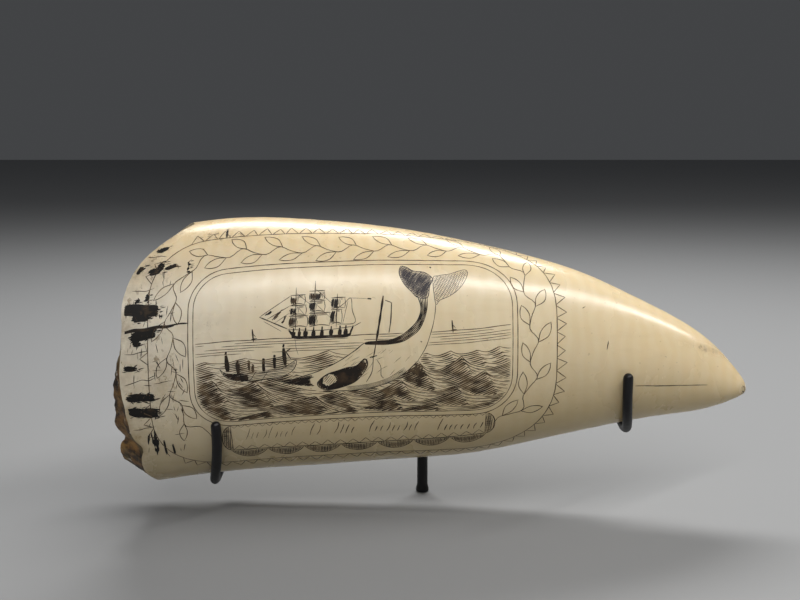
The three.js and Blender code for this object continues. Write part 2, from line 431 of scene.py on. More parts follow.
def tooth():
    """The whole tooth: polished outside, broken rim and pulp cavity in one closed mesh."""
    around, outer_rings, bevel_rings, cavity_rings = 264, 250, 9, 46
    turns = np.linspace(0, 2 * math.pi, around, endpoint=False)
    lowest = TOOTH_LOW[0] / MM + 0.02
    edge = rim_x(turns)
    round_trip = [Vector((3 * math.cos(t), 3 * math.sin(t), 7)) for t in turns]
    jag = np.array([noise.fractal(place, 0.6, 2.2, 4) for place in round_trip])
    edge = edge + 0.4 * jag * np.clip(1 - np.sin(turns), 0.25, 1) + 0.15
    rings, tints = [], []
    for i in range(1, outer_rings + 1):
        share = i / outer_rings
        u = 1 + (station(edge) - 1) * share
        x = station_x(u)
        rings.append(surface(x, turns))
        v = chart_v(x, turns)
        dirt = sum(w * blob(x, v, mx, mv, sx, sv) for mx, mv, sx, sv, w in DIRT)
        near_rim = np.clip(1 - (x - edge) / 7, 0, 1) ** 2
        tints.append(np.clip(dirt + 0.5 * near_rim, 0, 1))
    inner_edge = edge - bevel(turns)
    for i in range(1, bevel_rings + 1):
        share = i / bevel_rings
        x = edge + (inner_edge - edge) * share
        point = smooth_point(station(x), turns, 1 - WALL * share) + SHIFT
        bite = [noise.fractal(Vector(p) * 0.42, 0.8, 2.1, 5) for p in point]
        bite = 0.75 * np.array(bite) * math.sin(math.pi * min(share + 0.1, 1) * 0.75)
        point[:, 0] += bite * 0.8 + 0.35 * math.sin(math.pi * share)
        point[:, 0] = np.maximum(point[:, 0], lowest)
        rings.append(point * MM)
        tints.append(np.ones(around))
    for i in range(1, cavity_rings + 1):
        share = i / cavity_rings
        x = inner_edge + (CAVITY_END_X - inner_edge) * share
        thick = (1 - WALL) * (1 - share**CAVITY_BLUNTNESS)
        wavy = 1 + 0.012 * np.sin(3 * turns + x * 0.3) + 0.008 * np.sin(0.9 * x + 2 * turns)
        point = smooth_point(station(x), turns, thick * wavy) + SHIFT
        point[:, 0] = np.maximum(point[:, 0], lowest)
        rings.append(point * MM)
        tints.append(np.zeros(around))
    tip = smooth_point(np.array([1.0]), np.array([0.0]))[0] + SHIFT
    verts = np.concatenate([[tip * MM], *rings[:-1], [rings[-1].mean(0)]])
    last = len(verts) - 1
    faces, slots = [], []
    count = len(rings) - 1
    for j in range(around):
        k = (j + 1) % around
        faces.append((0, 1 + k, 1 + j))
        slots.append(0)
        for i in range(count - 1):
            a, b = 1 + i * around, 1 + (i + 1) * around
            faces.append((a + j, a + k, b + k, b + j))
            slots.append(0 if i < outer_rings - 1 else 1 if i < outer_rings + bevel_rings - 1 else 2)
        a = 1 + (count - 1) * around
        faces.append((a + j, a + k, last))
        slots.append(2)
    made = add_mesh("tooth_body", verts, faces, (IVORY, BROKEN, CAVITY))
    made.data.polygons.foreach_set("material_index", slots)
    tint = made.data.attributes.new("dirt", "FLOAT", "POINT")
    tint.data.foreach_set("value", np.concatenate([[1.0], *tints[:-1], [0.0]]))
    # painted shade: a share per vertex that rises round the lower side of the tooth and darkens its colour
    # there
    share = 0.8 * ramp(np.sin(turns), 0.2, -0.9) * (turns > 0)
    painted_shade_rows = np.tile(share, len(rings) - 1)
    low = made.data.attributes.new("painted_underside_shade", "FLOAT", "POINT")
    low.data.foreach_set("value", np.concatenate([[0.0], painted_shade_rows, [0.0]]))
    made.data.set_sharp_from_angle(angle=math.radians(38))
    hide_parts("tooth")
    return made


def tube(path, radius, sides=20):
    """Vertices and faces of a round rod with round ends along a path of points, in millimetres."""
    path = np.asarray(path, float)
    heading = np.gradient(path, axis=0)
    heading /= np.linalg.norm(heading, axis=1, keepdims=True)
    side = np.cross(heading[0], (0.3, 0.5, 0.8))
    side /= np.linalg.norm(side)
    cap = np.linspace(0, math.pi / 2, 6)[:-1]
    rings = []
    starts = [(0, -radius * math.cos(a), math.sin(a)) for a in cap]
    ends = [(len(path) - 1, radius * math.cos(a), math.sin(a)) for a in cap[::-1]]
    stops = starts + [(i, 0.0, 1.0) for i in range(len(path))] + ends
    sides_of = [side]
    for i in range(1, len(path)):
        side = side - heading[i] * side.dot(heading[i])
        side /= np.linalg.norm(side)
        sides_of.append(side)
    turns = np.linspace(0, 2 * math.pi, sides, endpoint=False)
    for i, push, share in stops:
        across = np.cross(heading[i], sides_of[i])
        ring = sides_of[i] * np.cos(turns)[:, None] + across * np.sin(turns)[:, None]
        rings.append(path[i] + heading[i] * push + ring * radius * max(share, 0.02))
    verts = np.concatenate(rings)
    faces = []
    for r in range(len(rings) - 1):
        for j in range(sides):
            k = (j + 1) % sides
            faces.append((r * sides + j, r * sides + k, (r + 1) * sides + k, (r + 1) * sides + j))
    faces.append(tuple(range(sides))[::-1])
    faces.append(tuple(range((len(rings) - 1) * sides, len(rings) * sides)))
    return verts, faces


def beside_tooth(x, turn):
    """The middle of a rod that lies against the tooth."""
    u = station(np.asarray(x, float))
    turn = np.radians(np.asarray(turn, float))
    return smooth_point(u, turn) + outward(u, turn) * (ROD + ROD_GAP) + SHIFT


def arm_path(front_x, under_x, front, back):
    turn = np.linspace(front, back, 60)
    share = ramp(turn, front, 270)
    share = share * share * (3 - 2 * share)
    return beside_tooth(front_x + (under_x - front_x) * share, turn)


def cradle():
    """The bent and welded rod, fused into one skin so that its joints have small fillets."""
    spine_x = np.linspace(ROOT_ARM["under_x"], TIP_ARM["under_x"], 80)
    spine = beside_tooth(spine_x, np.full(80, SPINE_TURN))
    top = beside_tooth([0.0], [SPINE_TURN])[0]
    heights = np.linspace(POST, top[2] - 0.4, 20)
    post = np.stack([np.full(20, top[0]), np.full(20, top[1]), heights], -1)
    parts = [tube(arm_path(**ROOT_ARM), ROD), tube(arm_path(**TIP_ARM), ROD), tube(spine, ROD)]
    parts.append(tube(post, POST))
    parts.append(foot(top))
    verts, faces = [], []
    for points, loops in parts:
        faces += [tuple(len(verts) + i for i in loop) for loop in loops]
        verts += [tuple(p * MM) for p in points]
    made = add_mesh("cradle_rod", verts, faces, (PAINT,))
    fuse(made, 0.00028)
    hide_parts("cradle")
    return made


def foot(top):
    """The flared end of the post, flat below."""
    profile = ((0.0, 0.0), (FOOT - 0.15, 0.0), (FOOT, 0.2), (FOOT, FOOT_HEIGHT), (POST, FLARE_HEIGHT))
    profile += ((POST, FLARE_HEIGHT + 2), (0.0, FLARE_HEIGHT + 2))
    sides = 32
    turns = np.linspace(0, 2 * math.pi, sides, endpoint=False)
    verts, faces = [], []
    for radius, z in profile[1:-1]:
        verts += [(top[0] + radius * math.cos(t), top[1] + radius * math.sin(t), z) for t in turns]
    for r in range(len(profile) - 3):
        for j in range(sides):
            k = (j + 1) % sides
            faces.append((r * sides + j, r * sides + k, (r + 1) * sides + k, (r + 1) * sides + j))
    faces.append(tuple(range(sides))[::-1])
    faces.append(tuple(range((len(profile) - 3) * sides, (len(profile) - 2) * sides)))
    return np.array(verts), faces


def fuse(made, voxel):
    """Joins the overlapping rods of one mesh into a single smooth skin."""
    remesh = made.modifiers.new("fuse", "REMESH")
    remesh.mode = "VOXEL"
    remesh.voxel_size = voxel
    relax = made.modifiers.new("relax", "SMOOTH")
    relax.factor = 0.5
    relax.iterations = 4
    held = made.evaluated_get(bpy.context.evaluated_depsgraph_get())
    mesh = bpy.data.meshes.new_from_object(held)
    made.modifiers.clear()
    made.data = mesh
    mesh.polygons.foreach_set("use_smooth", [True] * len(mesh.polygons))


# ------------------------------------------------------------------ strokes
class Engraving:
    """Collects inked strokes in the chart, then lays them on the tooth as one mesh."""

    CUT_DEPTH = 0.12
    PROUD = 0.02

    def __init__(self, seed):
        self.random = random.Random(seed)
        self.strokes = []

    def stroke(self, path, width, taper=0.35, uneven=0.18):
        """One cut along a path of chart points. Its ends narrow to the taper's share of its width."""
        path = np.asarray(path, float)
        if len(path) < 2:
            return
        steps = np.linalg.norm(np.diff(path, axis=0), axis=1)
        length = steps.sum()
        if length < 0.15:
            return
        reach = np.concatenate([[0], np.cumsum(steps)])
        near_end = np.minimum(reach, length - reach)
        lead = max(min(length * 0.3, 1.6), 0.05)
        shape = taper + (1 - taper) * np.sqrt(np.clip(near_end / lead, 0, 1))
        phase, pitch = self.random.uniform(0, 6.3), self.random.uniform(0.9, 1.7)
        shape = shape * (1 + uneven * np.sin(reach * pitch + phase))
        self.strokes.append((path, np.asarray(width) * shape))

    def draw(self, points, step, width, taper=0.35):
        """One cut along a smooth curve through picture points."""
        self.stroke(on_picture(curve(points, step)), width, taper)

    def loop(self, path, width, uneven=0.18):
        """A closed line, drawn in long overlapping cuts as a hand would."""
        path = np.asarray(path, float)
        path = np.concatenate([path, path[:2]])
        pieces = max(2, len(path) // 40)
        cuts = np.linspace(0, len(path) - 1, pieces + 1).astype(int)
        for a, b in zip(cuts[:-1], cuts[1:]):
            self.stroke(path[a : min(b + 2, len(path))], width, taper=0.6, uneven=uneven)

    def lay(self, name, material):
        verts, lifts, faces = [], [], []
        first = 0
        for path, width in self.strokes:
            count = len(path)
            heading = np.gradient(path, axis=0)
            heading /= np.maximum(np.linalg.norm(heading, axis=1, keepdims=True), 1e-9)
            across = np.stack([-heading[:, 1], heading[:, 0]], -1) * width[:, None] / 2
            verts += [path + across, path - across, path]
            lifts += [np.full(2 * count, self.PROUD), np.full(count, -self.CUT_DEPTH)]
            left = first + np.arange(count)
            right, keel = left + count, left + 2 * count
            for a, b, c, d in (
                (right[:-1], right[1:], left[1:], left[:-1]),
                (left[:-1], left[1:], keel[1:], keel[:-1]),
                (right[1:], right[:-1], keel[:-1], keel[1:]),
            ):
                faces.append(np.stack([a, b, c, d], -1))
            ends = [(left[0], keel[0], right[0]), (left[-1], right[-1], keel[-1])]
            faces.append(np.array([(a, b, c, c) for a, b, c in ends]))
            first += 3 * count
        flat = np.concatenate(verts)
        turn = chart_turn(flat[:, 0], flat[:, 1])
        flat[:, 0] = np.maximum(flat[:, 0], rim_x(turn) + RIM_MARGIN)
        points = surface(flat[:, 0], turn, np.concatenate(lifts))
        loops = [tuple(dict.fromkeys(face)) for face in np.concatenate(faces).tolist()]
        return add_mesh(name, points, loops, (material,), smooth=False)


def curve(points, step=1.0, closed=False):
    """A smooth path through control points, at about equal steps."""
    points = np.asarray(points, float)
    count = len(points)
    if count == 2 and not closed:
        n = max(2, int(np.linalg.norm(points[1] - points[0]) / step) + 1)
        return points[0] + (points[1] - points[0]) * np.linspace(0, 1, n)[:, None]
    if closed:
        row = np.concatenate([points[-1:], points, points[:2]])
        spans = count
    else:
        row = np.concatenate([2 * points[:1] - points[1:2], points, 2 * points[-1:] - points[-2:-1]])
        spans = count - 1
    out = []
    for k in range(spans):
        a, b, c, d = row[k : k + 4]
        n = max(1, int(math.ceil(np.linalg.norm(c - b) / step)))
        s = np.arange(n)[:, None] / n
        out.append(between(a, b, c, d, s))
    if not closed:
        out.append(points[-1:])
    return np.concatenate(out)


def inside(polygon, points):
    """Which points lie in a polygon."""
    polygon, points = np.asarray(polygon), np.asarray(points)
    x, y = points[:, 0], points[:, 1]
    found = np.zeros(len(points), bool)
    for (x0, y0), (x1, y1) in zip(polygon, np.roll(polygon, -1, axis=0)):
        crosses = (y0 > y) != (y1 > y)
        if y1 != y0:
            found ^= crosses & (x < (x1 - x0) * (y - y0) / (y1 - y0) + x0)
    return found


def kept_runs(path, keep):
    """The stretches of a path where keep holds."""
    runs, start = [], None
    for i, good in enumerate(keep):
        if good and start is None:
            start = i
        if not good and start is not None:
            runs.append(path[start:i])
            start = None
    if start is not None:
        runs.append(path[start:])
    return [run for run in runs if len(run) > 1]


def hatch(cutter, polygon, angle, spacing, width, jitter=0.15, bend=0.0, step=0.7, leave=None):
    """Fills a polygon of picture points with parallel cuts, but for a part to leave."""
    polygon = np.asarray(polygon, float)
    turn = math.radians(angle)
    ahead = np.array([math.cos(turn), math.sin(turn)])
    across = np.array([-ahead[1], ahead[0]])
    low, high = (polygon @ across).min(), (polygon @ across).max()
    start, end = (polygon @ ahead).min(), (polygon @ ahead).max()
    level = low + spacing * 0.5
    while level < high:
        n = max(3, int((end - start) / (step * 0.5)))
        s = np.linspace(start, end, n)
        bow = bend * (1 - ((s - start) / (end - start) * 2 - 1) ** 2)
        line = s[:, None] * ahead + (level + bow)[:, None] * across
        keep = inside(polygon, line)
        if leave is not None:
            keep &= ~inside(leave, line)
        for run in kept_runs(line, keep):
            cut = run[:: max(1, min(2, len(run) // 3))]
            cutter.stroke(on_picture(cut), width * cutter.random.uniform(0.8, 1.2), taper=0.5)
        level += spacing * cutter.random.uniform(1 - jitter, 1 + jitter)


# ------------------------------------------------------------------ the picture's own plane
PICTURE_X, PICTURE_V, PICTURE_SLOPE = -19.4, 6.5, 0.055
FRAME_GAP = 1.4


def on_picture(points):
    """Picture points, p along and q up from the picture's middle, as chart points."""
    points = np.asarray(points, float)
    p, q = points[..., 0], points[..., 1]
    return np.stack([PICTURE_X + p, PICTURE_V + q + PICTURE_SLOPE * p], -1)


def evenly(path, step):
    """The same path with its points at equal steps."""
    reach = np.concatenate([[0], np.cumsum(np.linalg.norm(np.diff(path, axis=0), axis=1))])
    spots = np.linspace(0, reach[-1], max(2, int(reach[-1] / step) + 1))
    return np.stack([np.interp(spots, reach, path[:, i]) for i in (0, 1)], -1)


def rounded(left, right, bottom, top, radii, inset=0.0, step=1.0):
    """A round-cornered rectangle, anticlockwise from the lower right, and its radii in the same order."""
    points = []
    corners = (
        (right, bottom, -1, 1, -90),
        (right, top, -1, -1, 0),
        (left, top, 1, -1, 90),
        (left, bottom, 1, 1, 180),
    )
    for (p, q, toward_p, toward_q, start), radius in zip(corners, radii):
        middle = np.array([p + toward_p * radius, q + toward_q * radius])
        for turn in np.radians(np.linspace(start, start + 90, 12)):
            points.append(middle + (radius - inset) * np.array([math.cos(turn), math.sin(turn)]))
    return evenly(np.array(points + [points[0]]), step)[:-1]


FRAME_SHAPE = dict(left=-45.8, right=45.2, bottom=-23.4, top=22.4, radii=(11.5, 14.5, 10.0, 12.5))
BORDER_SHAPE = dict(left=-56.9, right=56.5, bottom=-38.8, top=32.9, radii=(25.0, 27.0, 15.0, 22.0))
WINDOW = rounded(inset=FRAME_GAP + 0.25, **FRAME_SHAPE)


def picture_frame():
    cutter = Engraving(11)
    for inset, width in ((0.0, 0.24), (FRAME_GAP, 0.2)):
        cutter.loop(on_picture(rounded(inset=inset, **FRAME_SHAPE)), width)
    return cutter.lay("engraved_frame", LINE_INK)


def normals_of(path):
    heading = np.gradient(path, axis=0)
    heading /= np.linalg.norm(heading, axis=1, keepdims=True)
    return heading, np.stack([-heading[:, 1], heading[:, 0]], -1)


def border():
    """The outer line and its row of triangles, rubbed away at the root end."""
    cutter = Engraving(12)
    line = rounded(step=0.8, **BORDER_SHAPE)
    cutter.loop(on_picture(line), 0.24)
    pitch, height = 3.75, 2.7
    closed = np.concatenate([line, line[:1]])
    reach = np.concatenate([[0], np.cumsum(np.linalg.norm(np.diff(closed, axis=0), axis=1))])
    _, out = normals_of(closed)
    count = int(reach[-1] / pitch)
    each = reach[-1] / count
    for i in range(count):
        gap = cutter.random.uniform(0.0, 0.06)
        spots = [(i + s) * each for s in (gap, 0.5 + cutter.random.uniform(-0.12, 0.12), 1.0 - gap)]
        feet = [np.array([np.interp(t, reach, closed[:, k]) for k in (0, 1)]) for t in spots]
        lean = np.array([np.interp(spots[1], reach, out[:, k]) for k in (0, 1)])
        if feet[1][0] < -47 and cutter.random.random() < 0.55:
            continue
        peak = feet[1] - lean * height * cutter.random.uniform(0.8, 1.1)
        for a, b in ((feet[0], peak), (peak, feet[2])):
            cutter.draw([a, b], 0.9, 0.24, taper=0.6)
    return cutter.lay("engraved_border", LINE_INK)


def leaf(cutter, base, direction, length, width, side):
    """A lens-shaped outline leaf, fuller on one side."""
    ahead = np.array([math.cos(direction), math.sin(direction)])
    across = np.array([-ahead[1], ahead[0]]) * side
    for full, reach in ((0.62, 1.0), (-0.42, 0.96)):
        middle = base + ahead * length * 0.4 + across * width * full
        far = base + ahead * length * 0.75 + across * width * full * 0.75
        end = base + ahead * length * reach
        cutter.draw([base, middle, far, end], 0.6, 0.22, taper=0.7)


VINE_ROUTE = (
    (39.5, -26.6), (43.5, -24.6), (47.4, -20.4), (49.6, -13.0), (49.8, -3.0), (49.4, 5.0), (48.2, 12.0),
    (46.0, 18.5), (42.0, 23.4), (35.0, 26.4), (25.0, 27.3), (8.0, 26.7), (-20.0, 26.7), (-34.0, 27.0),
    (-42.0, 26.2), (-47.2, 22.6), (-50.2, 16.0), (-51.0, 8.0), (-50.4, -1.0), (-50.2, -9.0), (-48.8, -16.0),
    (-45.6, -21.6), (-40.6, -25.8),
)


def vine():
    """A stem that bends at each leaf, from the ribbon's right end over the top to its left end."""
    cutter = Engraving(13)
    path = evenly(curve(VINE_ROUTE, 0.5), 0.5)
    heading, side = normals_of(path)
    pitch, sway = 10.2, 1.15
    reach = np.arange(len(path)) * 0.5
    phase = reach * 2 * math.pi / pitch
    bend = np.sin(phase) + 0.22 * np.sin(2 * phase + 0.6)
    stem = path + side * bend[:, None] * sway
    for start in range(0, len(stem) - 1, 40):
        cutter.stroke(on_picture(stem[start : start + 42 : 2]), 0.22, taper=0.7)
    count = int(reach[-1] / pitch * 2)
    for k in range(1, count):
        sign = 1 if k % 2 else -1
        spot = (k * 0.5 - 0.25 + cutter.random.uniform(-0.03, 0.03)) * pitch
        i = int(spot / 0.5)
        if i >= len(stem):
            break
        along_path = math.atan2(heading[i][1], heading[i][0])
        lean = cutter.random.uniform(16, 26) if sign > 0 else cutter.random.uniform(30, 40)
        direction = along_path + sign * math.radians(lean)
        length, width = cutter.random.uniform(5.9, 6.9), cutter.random.uniform(1.9, 2.5)
        leaf(cutter, stem[i], direction, length, width, sign)
    return cutter.lay("engraved_vine", LINE_INK)


# ------------------------------------------------------------------ the whaling scene, generic figures
BACK = (
    (-20.5, -11.0), (-15.5, -10.0), (-10.0, -8.4), (-4.5, -6.0), (0.0, -3.2), (2.6, -1.3), (6.0, -0.9),
    (9.5, -0.7), (12.3, 0.3), (15.0, 2.2), (17.0, 4.4), (18.0, 6.8), (18.0, 9.0), (17.3, 11.0),
)
STOCK = (
    (2.8, -1.7), (6.0, -1.8), (9.5, -1.8), (12.8, -1.2), (15.4, 0.2), (17.5, 2.0), (18.9, 4.6), (19.7, 7.6),
    (19.9, 11.0),
)
BELLY = (
    (22.2, 9.2), (22.0, 6.5), (21.5, 3.6), (20.6, 0.4), (19.4, -3.0), (17.3, -6.6), (14.2, -9.6),
    (9.5, -12.6), (4.0, -14.2), (-2.0, -14.7), (-9.0, -14.4),
)
LEFT_FLUKE = (
    (17.3, 11.0), (15.4, 12.8), (13.3, 15.3), (12.1, 18.2), (12.6, 20.4), (14.2, 20.0), (16.0, 18.9),
    (18.9, 18.5), (20.9, 17.2), (21.4, 16.2), (20.6, 14.4), (19.9, 11.0),
)
RIGHT_FLUKE = (
    (21.5, 16.4), (23.0, 17.4), (26.0, 17.9), (28.6, 18.8), (30.6, 19.3), (31.3, 18.3), (30.6, 16.0),
    (28.8, 13.4), (26.2, 11.4), (23.4, 10.2), (22.2, 9.2),
)
MOUTH = (
    (-10.2, -11.4), (-8.0, -9.7), (-5.0, -8.7), (-2.4, -8.0), (0.2, -7.6), (2.6, -5.7), (3.4, -7.2),
    (2.2, -9.8), (-0.4, -12.3), (-4.4, -13.7), (-8.2, -14.1), (-10.3, -12.8),
)
TONGUE = ((-7.2, -9.7), (-5.6, -10.4), (-5.5, -11.8), (-6.9, -12.8), (-8.6, -12.2), (-8.7, -10.6))
JAW = ((-20.4, -11.1), (-15.5, -10.1), (-11.2, -9.6), (-12.2, -11.2), (-11.4, -12.7), (-16.6, -12.2))
BOAT = (
    (-37.2, -5.6), (-35.6, -6.9), (-31.0, -7.6), (-25.0, -7.7), (-20.0, -7.0), (-16.2, -5.0), (-17.0, -7.6),
    (-20.0, -9.2), (-26.0, -9.9), (-32.0, -9.5), (-35.4, -8.2),
)
HULL = (
    (-18.3, 3.6), (-17.4, 2.2), (-16.2, 1.2), (-9.0, 0.8), (-2.0, 0.9), (-0.8, 2.2), (-0.4, 3.4),
    (-9.0, 2.8),
)


def whale_shape():
    return np.concatenate([curve(BACK, 0.8), curve(BELLY, 0.8)])


def free_of(points, shapes):
    keep = inside(WINDOW, points)
    for shape in shapes:
        keep &= ~inside(shape, points)
    return keep


def horizon(p):
    return 1.0 + 0.0008 * p * p


WAVES = (  # rows from back to front. Each crest: p, q, depth of the hollow after it, darkness before it
    ((-50, -2.6, 0.8, 0.5), (-41, -2.9, 1.0, 0.5), (-30, -3.2, 0.9, 0.5), (-19.5, -3.6, 1.2, 0.5),
     (-7, -2.8, 1.2, 0.6), (4, -3.6, 1.0, 0.4), (20, -4.6, 0.9, 0.5), (26.5, -4.0, 1.0, 0.5),
     (34, -4.0, 0.9, 0.5), (40, -3.4, 0.8, 0.5), (50, -3.0, 0.8, 0.5)),
    ((-56, -5.0, 2.0, 0.6), (-38.5, -6.6, 3.0, 0.6), (-18, -9.0, 2.0, 0.6), (2, -8.0, 3.0, 0.8),
     (17.4, -6.6, 3.2, 1.1), (29.4, -5.6, 4.2, 0.75), (50, -4.4, 2.0, 0.7)),
    ((-62, -8.6, 3.0, 0.9), (-39.4, -8.4, 2.6, 1.2), (-27.4, -10.2, 4.6, 1.15), (-4.0, -14.4, 3.0, 0.8),
     (12.6, -12.0, 4.4, 1.1), (36.0, -10.0, 3.4, 0.85), (54, -8.0, 3.0, 0.9)),
    ((-64, -15.0, 3.0, 1.1), (-37.0, -15.2, 3.0, 1.2), (-11.0, -15.8, 4.6, 0.9), (10.5, -17.0, 2.6, 1.1),
     (28.5, -15.0, 4.4, 0.9), (55, -10.5, 4.5, 0.95)),
    ((-50, -19.6, 2.0, 1.2), (-24.0, -19.6, 2.0, 1.1), (0.0, -20.4, 1.6, 1.0), (22.0, -19.4, 2.0, 1.0),
     (46, -17.5, 2.0, 1.0)),
)
WAVE_LEAN, CUT_GAP = 0.55, 0.56
FINE_CUT, BOLD_CUT = 0.16, 0.34
CUTS_IN_ROW, CALM_LINES = 22, 6


def wave_line(p, row, fall=0.0):
    """One row of sharp crests and round hollows, lowered for the cuts below, and how dark each place is."""
    q, dark = np.full(len(p), -60.0), np.zeros(len(p))
    soften = 1 / (1 + 0.07 * fall)
    for (p0, q0, deep, _), (p1, q1, _, tone) in zip(row[:-1], row[1:]):
        p0, p1 = p0 + WAVE_LEAN * fall, p1 + WAVE_LEAN * fall
        mine = (p >= p0) & (p < p1)
        s = (p[mine] - p0) / (p1 - p0)
        hollow = 1 - np.abs(2 * s**0.8 - 1) ** 1.7
        q[mine] = q0 + (q1 - q0) * s - deep * hollow * soften
        rise = np.clip((s - 0.18) / 0.62, 0, 1)
        dark[mine] = tone * (0.12 + 0.88 * rise * rise * (3 - 2 * rise))
    return q - fall * 0.92, np.clip(dark, 0, 1)


def sea():
    """Level lines far off, then rows of waves, each shaded by nested cuts that follow its form."""
    cutter = Engraving(14)
    rnd = cutter.random
    shapes = [whale_shape(), curve(BOAT, 0.8, True), curve(HULL, 0.8, True)]
    p = np.arange(-45.0, 45.1, 0.6)
    for k in range(CALM_LINES):
        line = np.stack([p, horizon(p) - 0.72 * k + 0.06 * np.sin(p * 0.5 + 3 * k)], -1)
        keep = free_of(line, shapes)
        if k:
            keep &= np.sin(p * 0.31 + 7 * k) + np.sin(p * 0.17 - 5 * k) < 1.1
        for run in kept_runs(line, keep):
            cutter.stroke(on_picture(run), 0.2 if k == 0 else 0.15)
    for k, row in enumerate(WAVES):
        front = WAVES[k + 1] if k + 1 < len(WAVES) else None
        for i in range(CUTS_IN_ROW):
            fall = i * CUT_GAP
            q, dark = wave_line(p, row, fall)
            line = np.stack([p, q + 0.05 * np.sin(p * 1.3 + 5 * i)], -1)
            keep = free_of(line, shapes)
            if front:
                keep &= q > wave_line(p, front)[0] + 0.15
            if i:
                keep &= dark + 0.3 * np.sin(p * 0.8 + 2.3 * i) > 0.0
            bold = 1.15 if i % 2 else 0.75
            for run in kept_runs(line, keep):
                weight = np.interp(run[:, 0], p, dark)
                width = (FINE_CUT + BOLD_CUT * weight * bold) * rnd.uniform(0.85, 1.15)
                cutter.stroke(on_picture(run), width, taper=0.3)
    splash = ((13.6, -10.4), (15.8, -8.6), (17.6, -6.4), (18.9, -8.6), (20.4, -11.6))
    hatch(cutter, curve(splash, 0.6), 42, 0.38, 0.3, bend=-0.5)
    return cutter.lay("engraved_sea", LINE_INK)


def outline(cutter, points, width, closed=True, step=0.7):
    path = curve(points, step, closed)
    if closed:
        path = np.concatenate([path, path[:1]])
    cutter.stroke(on_picture(path), width, taper=0.7)


def flowing(cutter, one, other, count, width, first=0.0, last=1.0):
    """Cuts that run side by side from one curve to the other."""
    one, other = (evenly(curve(side, 0.5), 0.5) for side in (one, other))
    spots = np.linspace(0, 1, max(len(one), len(other)))
    one, other = (
        np.stack([np.interp(spots, np.linspace(0, 1, len(side)), side[:, i]) for i in (0, 1)], -1)
        for side in (one, other)
    )
    for k in range(count):
        share = first + (last - first) * k / max(count - 1, 1)
        wide = width * cutter.random.uniform(0.85, 1.15)
        cutter.stroke(on_picture(one + (other - one) * share), wide, taper=0.4)


def sail(cutter, left, right, low, high, dark=0.4):
    """A square sail, its foot drawn up in the middle, and shaded on its left."""
    middle = (low + high) / 2
    foot = ((left - 0.1, low), ((left + right) / 2, low + 0.45), (right, low + 0.1))
    cutter.draw([(left - 0.2, high), (right + 0.3, high)], 0.8, 0.26)
    cutter.draw([(right, high), (right + 0.25, middle), foot[2]], 0.6, 0.17)
    cutter.draw(foot, 0.6, 0.22)
    edge = left + (right - left) * dark
    shadow = ((left, high), (edge + 0.2, high), (edge - 0.15, middle), (edge, low + 0.2), (left - 0.1, low),
              (left - 0.35, middle))
    hatch(cutter, np.array(shadow), 84, 0.27, 0.34, jitter=0.3)
    lit = ((edge, high), (edge + 0.9, high), (edge + 0.6, high - 0.9))
    lit += ((edge + 0.5, low + 0.5), (edge, low + 0.3))
    hatch(cutter, np.array(lit), 80, 0.4, 0.15, jitter=0.3)
    crease = ((edge, high - 0.1), (right, high - 0.1), (right - 0.2, high - 0.6), (edge + 0.5, high - 0.8))
    hatch(cutter, np.array(crease), 3, 0.3, 0.15)


